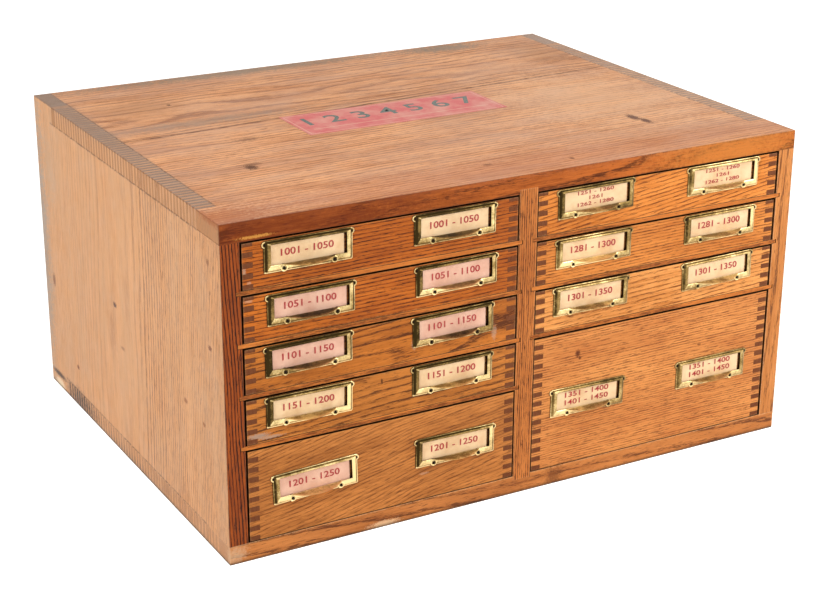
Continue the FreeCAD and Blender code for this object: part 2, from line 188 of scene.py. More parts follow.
def early_wood(tree, ring, streaks):
    """Early wood starts suddenly and fades; no two rings are alike, and none is even along its length."""
    phase = add(tree, "Math", ring, operation="FRACT")
    fading = add(tree, "MapRange", phase, 0.1, 0.55, 1.0, 0.0, interpolation_type="SMOOTHSTEP")
    starting = add(tree, "MapRange", phase, 0.0, 0.08, 0.0, 1.0)
    early = add(tree, "Math", fading, starting, operation="MULTIPLY")
    number = add(tree, "Math", ring, operation="FLOOR")
    own = add(tree, "TexWhiteNoise", number, noise_dimensions="1D")
    strength = add(tree, "MapRange", own, 0.0, 1.0, 0.45, 1.0)
    early = add(tree, "Math", early, strength, operation="MULTIPLY")
    uneven = add(tree, "MapRange", streaks, 0.35, 0.65, 0.65, 1.2)
    return add(tree, "Math", early, uneven, operation="MULTIPLY")


def open_pores(tree, given, offset, shift, early):
    """Pores: dark dashes in line with the rings, crowded in the early wood."""
    sideways = add(tree, "CombineXYZ", 0.0, shift, 0.0)
    spot = add(tree, "VectorMath", offset, given["Seed"], operation="ADD")
    spot = add(tree, "VectorMath", spot, sideways, operation="ADD")
    dashes = drawn_out(tree, spot, PORE_SIZE, 3.0, 0.7)
    crowded = add(tree, "Math", early, 0.24, dashes, operation="MULTIPLY_ADD")
    pore = add(tree, "MapRange", crowded, 0.56, 0.7, 0.0, 1.0, interpolation_type="SMOOTHSTEP")
    return add(tree, "Math", pore, given["Pores"], operation="MULTIPLY", use_clamp=True)


def make_oak_group():
    """Plain-sawn oak: growth rings round a pith line, rows of open pores in each ring, and fine fibre."""
    tree = bpy.data.node_groups.new("oak_grain", "ShaderNodeTree")
    sockets = (
        ("INPUT", "Vector", ("Place", "Seed", *OAK_PLACES)),
        ("INPUT", "Float", OAK_NUMBERS),
        ("INPUT", "Color", OAK_COLOURS),
        ("OUTPUT", "Color", ("Colour",)),
        ("OUTPUT", "Float", ("Pore", "Fibre")),
    )
    for side, kind, names in sockets:
        for name in names:
            tree.interface.new_socket(name, in_out=side, socket_type=f"NodeSocket{kind}")
    given = add(tree, "NodeGroupInput").node.outputs
    spot = add(tree, "VectorMath", given["Place"], given["Seed"], operation="ADD")

    # Distance from the leaning pith line, with a slow wander, counted in rings
    along = add(tree, "SeparateXYZ", given["Place"])
    leaning = add(tree, "VectorMath", given["Lean"], named={"Scale": along}, operation="SCALE")
    pith = add(tree, "VectorMath", given["Pith"], leaning, operation="ADD")
    offset = add(tree, "VectorMath", given["Place"], pith, operation="SUBTRACT")
    flat = add(tree, "VectorMath", offset, (0, 1, 1), operation="MULTIPLY")
    radius = add(tree, "VectorMath", flat, operation="LENGTH").node.outputs["Value"]
    slow = drawn_out(tree, spot, WANDER_SIZE, 3.0, 0.45)
    shift = add(tree, "Math", slow, -0.5, operation="ADD")
    shift = add(tree, "Math", shift, given["Wander"], operation="MULTIPLY")
    wander = add(tree, "Math", radius, shift, operation="ADD")
    ring = add(tree, "Math", wander, given["Ring"], operation="DIVIDE")
    streaks = drawn_out(tree, spot, STREAK_SIZE, 5.0, 0.75)
    early = early_wood(tree, ring, streaks)
    pore = open_pores(tree, given, offset, shift, early)

    # The bands of early wood, fine fibre, slow drifts of tone and short streaks make one tone
    fibre = drawn_out(tree, spot, FIBRE_SIZE, 4.0, 0.65)
    drift = drawn_out(tree, spot, DRIFT_SIZE, 3.0, 0.5)
    tone = add(tree, "Math", early, given["Bands"], operation="MULTIPLY")
    for pattern, share in ((fibre, 0.9), (drift, given["Drift"]), (streaks, given["Mottle"])):
        around_zero = add(tree, "Math", pattern, -0.5, operation="ADD")
        tone = add(tree, "Math", around_zero, share, tone, operation="MULTIPLY_ADD")
    tone = add(tree, "MapRange", tone, -0.35, 0.55, 0.0, 1.0)
    wood = add(tree, "Mix", tone, given["Light"], given["Dark"], data_type="RGBA")
    wood = add(tree, "Mix", pore, wood, given["Pore Colour"], data_type="RGBA")
    add(tree, "NodeGroupOutput", wood, pore, fibre)
    return tree


def patch(tree, place, middle, reach, ragged, full, gone):
    """1 inside a patch with the given middle and reach, 0 outside it, with a ragged rim."""
    away = add(tree, "VectorMath", place, tuple(middle), operation="SUBTRACT")
    away = add(tree, "VectorMath", away, tuple(1 / value for value in reach), operation="MULTIPLY")
    away = add(tree, "VectorMath", away, operation="LENGTH").node.outputs["Value"]
    away = add(tree, "Math", away, ragged, operation="ADD")
    return add(tree, "MapRange", away, full, gone, 1.0, 0.0, interpolation_type="SMOOTHSTEP")


OAK = make_oak_group()
AXES = "XYZ"

# How a board looks where its own look says nothing else, in millimetres from the board's middle
# The seed picks the patterns; pith is where the tree's heart runs, across and through the board, and lean
# how far it drifts with each millimetre; ring is a year's growth, and wander how far the rings sway
# Bands, pores, drift and mottle say how strongly the early wood, the open pores, slow changes of tone and
# short streaks show; cross is the thickness of a board across the end of the others, or -1 for none
# The look's tones are light wood, dark wood and pores, and its shown tones are those of the face that faces
# names; its calm stretch across the board is where the rings fade away
# Haze is thin, grey varnish, end the end grain and wear the rubbed edges, each with a colour and a strength
PLAIN_BOARD = dict(
    stock="varnished_oak", seed=1.0, pith=(0.0, 60.0), lean=(0.0, 0.0), ring=4.0, wander=12.0,
    bands=0.4, pores=0.8, drift=1.5, mottle=1.5, faces=(0, 0, 1), cross=-1.0,
    haze=("A08470", 0.0), end=0.7, end_colour="4A2812", wear=0.5, worn="C08A58",
    roughness=(0.38, 0.52), lines=(), stains=(), marks=(),
)
SEED_STEP = (371.0, 53.0, 29.0)
CALM_SHARE = 0.25
LINE_SWAY = 12.0
JOINTS_FADE = (189.0, 192.0)
JOINT_LINE = "4E3220"
# Painted shade: the near-black colour that darkens the wood in gaps, joints and corners, and how far round
# them it reaches
GAP_SHADE = "180A04"
GAP_SHADE_REACH = 5.0
VARNISH_SHINE = 0.15
WOOD_RELIEF = 0.12


def bare_wood(tree, parts, grain, open_face, look):
    """The wood of a board before its years of use, as the outputs of the node group that draws its grain."""
    given = {"Place": grain, "Seed": tuple(look["seed"] * step for step in SEED_STEP)}
    given.update({word: (0.0, *look[word.lower()]) for word in OAK_PLACES})
    given.update({word: look[word.lower()] for word in OAK_NUMBERS})

    # Part of the board can be calm: there the rings hardly show
    if "calm" in look:
        across = parts[look["order"][1]]
        for word in ("Bands", "Pores"):
            strong = given[word]
            given[word] = add(tree, "MapRange", across, *look["calm"], strong, strong * CALM_SHARE)

    # The face that shows can have its own tones; the others keep the plain tones, which are darker: wood that
    # has stayed dark on the case, and painted shade on the drawer fronts and shelf strips
    for word, plain, shown in zip(OAK_COLOURS, look["tones"], look.get("shown", look["tones"])):
        given[word] = add(tree, "Mix", open_face, plain, shown, data_type="RGBA")
    return add(tree, "Group", named=given, node_tree=OAK).node.outputs


def dark_lines(tree, parts, patches, blotches, look):
    """Single dark lines of grain: level at the middle, slope, half width, colour and strength."""
    along, across = (parts[letter] for letter in look["order"][:2])
    coats = []
    for level, slope, half_width, colour, amount in look["lines"]:
        bent = add(tree, "Math", along, -slope, across, operation="MULTIPLY_ADD")
        bent = add(tree, "Math", patches, LINE_SWAY, bent, operation="MULTIPLY_ADD")
        away = add(tree, "Math", bent, level + LINE_SWAY / 2, operation="SUBTRACT")
        away = add(tree, "Math", away, operation="ABSOLUTE")
        line = add(tree, "MapRange", away, 0.0, half_width, amount, 0.0)
        broken = add(tree, "MapRange", blotches, 0.38, 0.6, 0.45, 1.0)
        coats.append((add(tree, "Math", line, broken, operation="MULTIPLY"), colour))
    return coats


def joint_dirt(tree, parts, from_end, nicks, open_face, fingers):
    """Dirt over the fingers of box joints and in the line where they end, but not near the corners."""
    depth, colour, amount = fingers
    soiled = add(tree, "MapRange", from_end, depth - 0.5, depth + 2.0, amount, 0.0)
    from_line = add(tree, "Math", from_end, depth, operation="SUBTRACT")
    from_line = add(tree, "Math", from_line, operation="ABSOLUTE")
    line = add(tree, "MapRange", from_line, 0.4, 1.3, 1.0, 0.0)
    gaps = add(tree, "MapRange", nicks, 0.46, 0.54, 0.1, 0.75)
    line = add(tree, "Math", line, gaps, operation="MULTIPLY")
    seen = add(tree, "Math", parts["Y"], operation="ABSOLUTE")
    seen = add(tree, "MapRange", seen, *JOINTS_FADE, 1.0, 0.0)
    seen = add(tree, "Math", seen, open_face, operation="MULTIPLY")
    dirt_and_shade = ((soiled, colour), (line, JOINT_LINE))
    return [(add(tree, "Math", mask, seen, operation="MULTIPLY"), shade) for mask, shade in dirt_and_shade]


def edge_wear(tree, to_faces, nicks, look):
    """Rubbed wood near the board's own edges, broken up by noise."""
    lesser = add(tree, "Math", to_faces[0], to_faces[1], operation="MINIMUM")
    greater = add(tree, "Math", to_faces[0], to_faces[1], operation="MAXIMUM")
    middle = add(tree, "Math", greater, to_faces[2], operation="MINIMUM")
    to_edge = add(tree, "Math", lesser, middle, operation="MAXIMUM")
    to_edge = add(tree, "Math", nicks, -5.0, to_edge, operation="MULTIPLY_ADD")
    return add(tree, "MapRange", to_edge, -2.6, -1.2, look["wear"], 0.0), look["worn"]


def stains_and_marks(tree, local, centre, blotches, nicks, look):
    """Soft stains and crisp marks: middle in the cabinet and reach in millimetres, colour and strength."""
    soft_rim = add(tree, "Math", blotches, 0.8, operation="MULTIPLY")
    soft_rim = add(tree, "Math", nicks, 2.4, soft_rim, operation="MULTIPLY_ADD")
    specks = add(tree, "TexNoise", local, 1 / SPECK_SIZE, 4.0, 0.8)
    torn_rim = add(tree, "Math", specks, 2.6, operation="MULTIPLY")
    kinds = [(stain, soft_rim, 1.7, 2.8) for stain in look["stains"]]
    kinds += [(mark, torn_rim, 1.8, 2.4) for mark in look["marks"]]
    coats = []
    for (middle, reach, colour, amount), rim, full, gone in kinds:
        mask = patch(tree, local, Vector(middle) - centre / MM, reach, rim, full, gone)
        coats.append((add(tree, "Math", mask, amount, operation="MULTIPLY"), colour))
    return coats


def board_wood(name, low, high, look):
    """Planed oak or peeled plywood for one board between its low and high corners, with its years of use."""
    material, tree = new_material(name)
    order = look["order"]
    lengthwise = AXES.index(order[0])
    centre = (low + high) / 2
    sizes = high - low
    local = millimetres(tree, centre)
    parts = add(tree, "SeparateXYZ", local).node.outputs
    to_faces = to_sides(tree, parts, sizes)
    normal = add(tree, "NewGeometry").node.outputs["Normal"]
    facing = add(tree, "VectorMath", normal, look["faces"], operation="DOT_PRODUCT")
    open_face = add(tree, "MapRange", facing.node.outputs["Value"], 0.4, 0.75, 0.0, 1.0)
    blotches = add(tree, "TexNoise", local, 1 / BLOTCH_SIZE, 4.0, 0.65)
    nicks = add(tree, "TexNoise", local, 1 / NICK_SIZE, 4.0, 0.75)

    # A board across the end of the others, in the same node, has its grain the other way
    cross_start = sizes[lengthwise] / 2 / MM - look["cross"]
    cross_board = add(tree, "Math", parts[order[0]], cross_start, operation="GREATER_THAN")
    grain = add(tree, "CombineXYZ", *(parts[letter] for letter in order))
    crossed = add(tree, "CombineXYZ", *(parts[letter] for letter in reversed(order)))
    grain = add(tree, "Mix", cross_board, grain, crossed, data_type="VECTOR")
    colour, pore, fibre = bare_wood(tree, parts, grain, open_face, look)

    # Grey, dry patches where the varnish has worn thin on the open face
    haze_colour, amount = look["haze"]
    patches = drawn_out(tree, grain, HAZE_SIZE, 6.0, 0.7)
    haze = add(tree, "MapRange", patches, 0.4, 0.66, 0.0, amount)
    haze = add(tree, "Math", haze, open_face, operation="MULTIPLY")

    # End grain, and painted shade that darkens joints, gaps and corners, where little light reaches
    facing = add(tree, "SeparateXYZ", normal).node.outputs[order[0]]
    facing = add(tree, "Math", facing, operation="ABSOLUTE")
    end = add(tree, "MapRange", facing, 0.6, 0.85, 0.0, look["end"])
    along_grain = add(tree, "Math", 1.0, cross_board, operation="SUBTRACT")
    end = add(tree, "Math", end, along_grain, operation="MULTIPLY")
    shelter = add(tree, "AmbientOcclusion", named={"Distance": GAP_SHADE_REACH * MM}, samples=8)
    dirt_and_shade = add(tree, "MapRange", shelter.node.outputs["AO"], 0.5, 0.9, 0.95, 0.0)

    # What lies over the bare wood, from the lowest up: each is where it shows and its colour
    coats = [(haze, haze_colour)]
    coats += dark_lines(tree, parts, patches, blotches, look)
    coats.append((end, look["end_colour"]))
    if "fingers" in look:
        coats += joint_dirt(tree, parts, to_faces[lengthwise], nicks, open_face, look["fingers"])
    coats.append(edge_wear(tree, to_faces, nicks, look))
    coats += stains_and_marks(tree, local, centre, blotches, nicks, look)
    # Painted shade, laid over everything in gaps, joints and corners
    coats.append((dirt_and_shade, GAP_SHADE))
    for mask, coat_colour in coats:
        colour = add(tree, "Mix", mask, colour, coat_colour, data_type="RGBA")

    # Sunken pores and raised fibre; rubbed varnish leaves only a low shine
    height = add(tree, "Math", pore, -0.7, fibre, operation="MULTIPLY_ADD")
    roughness = add(tree, "MapRange", blotches, 0.3, 0.7, *look["roughness"])
    close_material(tree, colour, roughness, height, WOOD_RELIEF, **{"Specular IOR Level": VARNISH_SHINE})
    return material


# Boards: each is a copy of its CAD board with merged faces and softened edges

MERGE_DISTANCE = 0.001
FLAT_ANGLE = math.radians(1)
SHARP_ANGLE = math.radians(30)
EDGE = 0.25
THIN_EDGE = 0.15


def board_piece(node, body, look, edge_width=EDGE):
    """One board in the place of its CAD board, with its edges softened by this many millimetres."""
    look = {**PLAIN_BOARD, **look}
    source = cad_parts[node]
    bm = bmesh.new()
    bm.from_mesh(source.data)
    bmesh.ops.remove_doubles(bm, verts=bm.verts, dist=MERGE_DISTANCE * MM)
    bmesh.ops.dissolve_limit(bm, angle_limit=FLAT_ANGLE, verts=bm.verts, edges=bm.edges)
    sharp = [edge for edge in bm.edges if edge.is_manifold and edge.calc_face_angle() > SHARP_ANGLE]
    soften(bm, sharp, edge_width * MM, 2)
    low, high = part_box(node)
    material = board_wood(f"{node}_{look['stock']}", low, high, look)
    return make_piece(f"{node}_wood", bm, body, material, [node])


# The case's boards: order is the axis along the grain, then across and through it
# Fingers are the depth of the box joints, and the colour and strength of the dirt over them

BACK_GREY = "8A7866"
CASE_LOOKS = {
    "cabinet_top": dict(
        order="XYZ", seed=1.0, pith=(110.0, 90.0), lean=(0.05, 0.0), ring=5.6, wander=26.0,
        pores=0.7, mottle=2.6, drift=1.8,
        tones=("BC6426", "843E10", "3A1806"), shown=("E3A677", "BB7C51", "845438"),
        worn="6A4026", wear=0.7, end=0.8, end_colour="BE8E66",
        roughness=(0.62, 0.75), haze=("BA9580", 0.5), fingers=(18.0, "A48872", 0.5),
        lines=(
            (46.0, 0.063, 3.0, "523424", 1.0),
            (54.0, 0.06, 1.4, "6E4C36", 0.7),
            (61.0, 0.055, 1.4, "6E4C36", 0.6),
            (69.0, 0.05, 1.6, "7A5640", 0.6),
            (77.0, 0.045, 1.2, "7A5640", 0.5),
            (196.0, 0.012, 2.0, "6A4834", 0.7),
            (188.0, 0.02, 1.2, "7A5640", 0.6),
            (180.0, 0.02, 1.2, "7A5640", 0.4),
            (-98.0, -0.01, 1.6, "74482C", 0.6),
            (-112.0, -0.01, 1.2, "74482C", 0.5),
            (-150.0, 0.0, 1.4, "7A4620", 0.4),
            (-182.0, 0.0, 1.4, "7A4620", 0.4),
        ),
        stains=(
            ((0, -215, 318), (420, 46, 6), "B0623A", 0.4),
            # Painted light: this patch lightens the right of the top, where the light falls brighter
            ((200, -40, 318), (130, 150, 6), "F0BE92", 0.4),
            ((-190, 62, 318), (120, 16, 6), "98806E", 0.6),
            ((-295, -222, 318), (70, 36, 6), "9C5026", 0.5),
            ((-297, 110, 318), (15, 150, 6), "8E7360", 0.65),
            ((-80, 230, 318), (260, 18, 6), BACK_GREY, 0.85),
            ((170, 222, 318), (60, 22, 6), BACK_GREY, 0.9),
            ((260, 150, 318), (40, 60, 6), "A8764C", 0.4),
            ((-230, 140, 318), (60, 50, 6), "B07A4C", 0.4),
            ((-178, -16, 318), (20, 7, 6), "80583E", 0.7),
            # Painted light and shade: the top's front edge is darker towards the left and lighter towards the
            # right, as the light falls
            ((-240, -238, 309), (170, 3, 40), "6A2604", 0.55),
            ((230, -238, 309), (110, 3, 40), "D88A3C", 0.45),
        ),
        marks=(
            ((-213, -101, 318), (7, 8, 6), "4A2A18", 0.85),
            ((-209, -93, 318), (12, 3, 6), "6A4228", 0.7),
            ((193, -124, 318), (6, 12, 6), "5C3C30", 0.9),
            ((197, -140, 318), (5, 11, 6), "5C3C30", 0.9),
            ((-197, 136, 318), (2.4, 4, 6), "4A2A18", 0.8),
            ((-20, -195, 318), (6, 3, 6), "6A3A1C", 0.7),
            ((60, -214, 318), (3, 3, 6), "5A2C14", 0.8),
            ((-272, -238, 303), (18, 3, 1.6), "D09040", 0.9),
        ),
    ),
    "cabinet_bottom": dict(
        order="XYZ", seed=2.0, pith=(60.0, -80.0), lean=(0.02, 0.01), ring=3.4, bands=0.45,
        tones=("D28646", "A6602C", "5A2E14"), worn="D9A878", wear=0.6, end=0.75, end_colour="BC8A60",
        stains=(
            ((35, -238, 9), (12, 4, 12), "4E240E", 0.6),
            ((-300, -238, 9), (14, 8, 10), "D8B490", 0.6),
            ((-305, 148, 9), (8, 60, 30), "3E2616", 1.0),
            ((-305, 20, 4), (8, 90, 6), "7A5A42", 0.6),
        ),
        marks=(((-150, -238, 3), (18, 4, 3.4), "E6BC90", 0.9),),
    ),
    "left_side": dict(
        order="ZYX", seed=3.0, pith=(22.0, 280.0), lean=(-0.045, 0.0), ring=2.2, wander=9.0,
        bands=1.0, pores=0.9, mottle=1.3, drift=0.5, calm=(-60.0, -30.0),
        tones=("B25618", "5A2006", "200A02"), shown=("E6AC78", "C68854", "8E5A36"), faces=(-1, 0, 0),
        worn="7A4E30", wear=0.5, end=0.85, end_colour="86705C",
        haze=("C8A07C", 0.4), fingers=(18.0, "AC8058", 0.15),
        stains=(
            ((-305, 240, 160), (6, 26, 200), "989088", 0.8),
            ((-305, 148, 8), (6, 52, 14), "6A4630", 0.7),
            ((-305, 205, 250), (6, 22, 60), "C0A082", 0.5),
            ((-305, -154, 150), (6, 22, 190), "E0A46E", 0.35),
        ),
        marks=(
            ((-305, 214, 14), (6, 24, 3.6), "42240E", 0.95),
            ((-305, 213, 4), (6, 16, 6), "F2D6B2", 1.0),
            ((-305, 26, 158), (6, 4.6, 3.2), "5A2C12", 1.0),
            ((-305, 211, 124), (6, 4.6, 8), "8A5430", 0.9),
            ((-305, -210, 198), (6, 4.6, 3), "7A3E1C", 0.9),
            ((-305, -211, 277), (6, 3, 4), "8A5430", 0.8),
            ((-305, -149, 125), (6, 5, 3), "94562C", 0.8),
            ((-305, -190, 118), (6, 3.4, 2.6), "94562C", 0.8),
            ((-305, 150, 46), (6, 4, 2.8), "7A3E1C", 0.9),
            ((-305, 10, 118), (6, 6, 2.2), "9C6840", 0.7),
        ),
    ),
    "right_side": dict(
        order="ZYX", seed=4.0, pith=(60.0, 120.0), lean=(0.02, 0.0), ring=3.5, bands=0.45,
        tones=("DE9250", "B46C32", "663A1C"), shown=("DE9C68", "BE7C44", "8E562A"), faces=(1, 0, 0),
        worn="DFB084", wear=0.4, end=0.8, end_colour="806A56", fingers=(18.0, "AC8058", 0.15),
    ),
    "centre_divider": dict(
        order="ZXY", seed=5.0, pith=(400.0, 30.0), lean=(0.0, 0.02), ring=2.0, wander=8.0,
        bands=0.6, pores=1.0,
        tones=("CC7C3C", "A05622", "50240C"), worn="CE9460", wear=0.4,
    ),
    # Plywood is peeled from the log, so its rings meet the face in wide, wandering bands without shine
    "back_panel": dict(
        stock="peeled_plywood", order="XZY", seed=6.0,
        pith=(20.0, -200.0), ring=14.0, wander=40.0, pores=0.3,
        tones=("B78358", "94643C", "6B4224"), worn="BE9068", wear=0.2, roughness=(0.55, 0.7),
    ),
}
for node, look in CASE_LOOKS.items():
    board_piece(node, "cabinet", look)

# Painted shade: a strip's plain tones, on every face but its front, are much darker than its shown tones, for
# the shade in the gaps above and below it
SHELF_LOOK = dict(
    order="XZY", pith=(30.0, 40.0), ring=3.0, wander=6.0,
    tones=("7A4218", "5A2E10", "2C1406"), shown=("D88036", "AE5C22", "64300E"), faces=(0, -1, 0),
    worn="D89248", wear=0.3,
)
for side, count in (("left", LEFT_DRAWERS), ("right", RIGHT_DRAWERS)):
    for number in range(1, count):
        look = dict(SHELF_LOOK, seed=10.0 + number)
        board_piece(f"{side}_shelf_{number}", "cabinet", look, THIN_EDGE)


# The drawers: varnished oak fronts, bare oak walls with dark end grain, and floors of bare plywood

DRAWER_WALL = 10.0
SCUFF = "CCAE94"
# Painted shade: a front's plain tones, on every face but the one that shows, are darker than its shown tones,
# for the shade in the gaps round the drawer
FRONT_COMMON = dict(
    order="XZY", faces=(0, -1, 0), tones=("8A5024", "643614", "341A08"),
    worn="CF9456", wear=0.3, end=0.8, end_colour="50260E",
)
FRONT_LOOKS = {
    "left_drawer_1": dict(
        pith=(78.0, 30.0), lean=(0.01, 0.0), ring=3.2, wander=8.0, bands=0.7,
        shown=("CA6C20", "8C400A", "341202"),
        marks=(
            ((-283, -237, 272), (1.8, 4, 6), SCUFF, 0.5),
            ((-279, -237, 262), (2.4, 4, 1.6), SCUFF, 0.4),
        ),
    ),
    "left_drawer_2": dict(
        pith=(-85.0, 30.0), lean=(0.012, 0.0), ring=3.4, wander=9.0, bands=0.7,
        shown=("CE7022", "92440C", "381402"),
        marks=(((-280, -237, 246), (5, 4, 1.6), SCUFF, 0.4),),
    ),
    "left_drawer_3": dict(
        pith=(-14.0, 42.0), lean=(0.11, 0.02), wander=14.0, bands=0.35,
        shown=("CC782C", "944E16", "401A06"),
        marks=(
            ((-35, -237, 171), (3, 4, 8), SCUFF, 0.4),
            ((-119, -237, 176), (3, 4, 6), SCUFF, 0.6),
        ),
    ),
    "left_drawer_4": dict(
        pith=(30.0, 40.0), lean=(0.04, 0.02), ring=4.2, wander=16.0, bands=0.35,
        shown=("D08036", "9A581E", "462008"),
        lines=((4.0, 0.05, 1.2, "6A3412", 0.5), (-12.0, 0.08, 1.0, "6A3412", 0.5)),
        marks=(
            ((-274, -237, 119), (12, 4, 3), "AE9684", 0.75),
            ((-262, -237, 116), (14, 4, 1.6), "AE9684", 0.65),
            ((-152, -237, 146), (1.4, 4, 3), "3A1606", 0.8),
        ),
    ),
    "left_drawer_5": dict(
        pith=(-180.0, 60.0), lean=(0.2, 0.0), ring=3.4, wander=30.0,
        bands=0.35, pores=0.6, drift=2.2,
        shown=("D28642", "9E5C26", "52280E"),
        lines=(
            (-34.0, 0.2, 1.4, "5E2E10", 0.6),
            (-24.0, 0.22, 2.4, "6E3A16", 0.5),
            (-4.0, 0.21, 1.2, "5E2E10", 0.6),
            (6.0, 0.2, 1.6, "6E3A16", 0.6),
            (22.0, 0.19, 1.2, "5E2E10", 0.5),
            (38.0, 0.19, 2.0, "6E3A16", 0.5),
        ),
        marks=(((-108, -237, 44), (6, 4, 1.4), SCUFF, 0.3),),
    ),
    "right_drawer_1": dict(
        pith=(110.0, 30.0), lean=(0.13, 0.0), ring=3.8, wander=14.0, bands=0.55,
        shown=("EA9242", "BA641C", "5E2A08"),
    ),
    "right_drawer_2": dict(
        pith=(-90.0, 40.0), lean=(0.01, 0.0), ring=2.6, wander=6.0,
        shown=("E28E42", "B26020", "582808"),
    ),
    "right_drawer_3": dict(
        pith=(60.0, 50.0), lean=(0.05, 0.0), ring=3.3, wander=11.0, bands=0.5,
        shown=("F2A65C", "C27430", "64300C"),
    ),
    "right_drawer_4": dict(
        pith=(280.0, 60.0), lean=(0.01, 0.0), ring=2.4, wander=9.0, bands=0.35,
        shown=("E29650", "BA6C34", "6A3416"),
        marks=(
            ((59, -237, 131), (3, 4, 4.4), "521E06", 0.9),
            ((62, -237, 126), (2, 4, 2), "521E06", 0.8),
            ((204, -237, 112), (2.4, 4, 1.6), "6A3010", 0.7),
        ),
    ),
}
WALL_LOOK = dict(
    stock="bare_oak", order="YZX", cross=DRAWER_WALL + 0.05,
    pith=(40.0, 60.0), wander=10.0, pores=0.6,
    tones=("C7935C", "A26C38", "6B4020"), worn="D0A070", wear=0.2, end=0.92, end_colour="68341A",
    roughness=(0.55, 0.7),
)
FLOOR_LOOK = dict(
    stock="peeled_plywood", order="XYZ", pith=(0.0, -300.0), ring=20.0, wander=60.0, pores=0.25,
    tones=("C9A577", "AE8556", "7B5731"), worn="CDAE86", wear=0.1, roughness=(0.6, 0.75),
)
for number, drawer in enumerate(DRAWERS, start=1):
    front = dict(FRONT_COMMON, seed=20.0 + number, **FRONT_LOOKS[drawer])
    walls = dict(WALL_LOOK, seed=40.0 + number)
    floor = dict(FLOOR_LOOK, seed=60.0 + number)
    board_piece(f"{drawer}_front", drawer, front)
    board_piece(f"{drawer}_sides_and_back", drawer, walls)
    board_piece(f"{drawer}_bottom", drawer, floor, THIN_EDGE)


# The pulls: sizes in millimetres, right and up from the middle of the upper pins, and out of the wood
# Rubs say how bright the brass is, from 0 in the hollows to about 1 on the ridges: rubbed by hands, and on
# the top, left and lower bars painted reflection too

PULL_WIDTH = 84.0
PULL_HEIGHT = 28.8
EAR_DROP = 3.2
EAR_SPACING = 82.0
BOSS_SPACING = 48.0
SHEET = 0.8
FACE = 2.6
SIDE_BAR = 6.0
TOP_BAR = 3.4
BOTTOM_BAR = 6.8
FLANGE_TOP = EAR_DROP
FLANGE_LOW = EAR_DROP - PULL_HEIGHT
WINDOW_LOW = FLANGE_LOW + BOTTOM_BAR
WINDOW_TOP = FLANGE_TOP - TOP_BAR
WINDOW_HALF = PULL_WIDTH / 2 - SIDE_BAR
BOSS_LEVEL = FLANGE_LOW + 3.2
TOUCH = 0.01
# Painted reflection: shares that dim the left and top bars, which face the dark studio, and the least
# brightness of the lower bar, which faces the pale floor
LEFT_REFLECTION_DIM = 0.3
TOP_REFLECTION_DIM = 0.4
LOWER_REFLECTION_GLEAM = 0.6
LIP_ROOT = 0.4
LIP_HALF = 25.0
LIP_REACH = 9.9
LIP_CURL = 0.9
LIP_THICKNESS = 0.75
CORNER_STEPS = 4
TARNISH_CLOUD = 11.0
TARNISH_FLECK = 1.7
PULL_TO_PULL = 71.0
STEEL_FLECK = 0.67


def rub(bm, vertices, amount):
    """Records how bright these vertices of the brass are: rubbed, and in places with painted reflection."""
    layer = bm.verts.layers.float["rub_and_reflection"]
    for vertex in vertices:
        vertex[layer] = amount


def rounded_outline(bm, half_width, low, top, radius, out, rub_and_reflection):
    """The edges of a rectangle with rounded corners, at one height over the wood."""
    middle = (top + low) / 2
    sheet = bmesh.ops.create_grid(bm, x_segments=1, y_segments=1, size=1.0)["verts"]
    size = Matrix.Diagonal((half_width, (top - low) / 2, 1.0, 1.0))
    bmesh.ops.transform(bm, matrix=Matrix.Translation((0.0, middle, out)) @ size, verts=sheet)
    rounded = soften(bm, sheet, radius, CORNER_STEPS, "VERTICES")
    face = rounded["verts"][0].link_faces[0]
    vertices = list(face.verts)
    edges = list(face.edges)
    # Painted reflection: left and top bars darker, lower bar brighter
    for vertex in vertices:
        across, up, _ = vertex.co
        if across < TOUCH - half_width:
            rub(bm, [vertex], rub_and_reflection * LEFT_REFLECTION_DIM)
        elif up > top - TOUCH:
            rub(bm, [vertex], rub_and_reflection * TOP_REFLECTION_DIM)
        elif up < low + TOUCH:
            rub(bm, [vertex], max(rub_and_reflection, LOWER_REFLECTION_GLEAM))
        else:
            rub(bm, [vertex], rub_and_reflection)
    bmesh.ops.delete(bm, geom=[face], context="FACES_ONLY")
    return edges


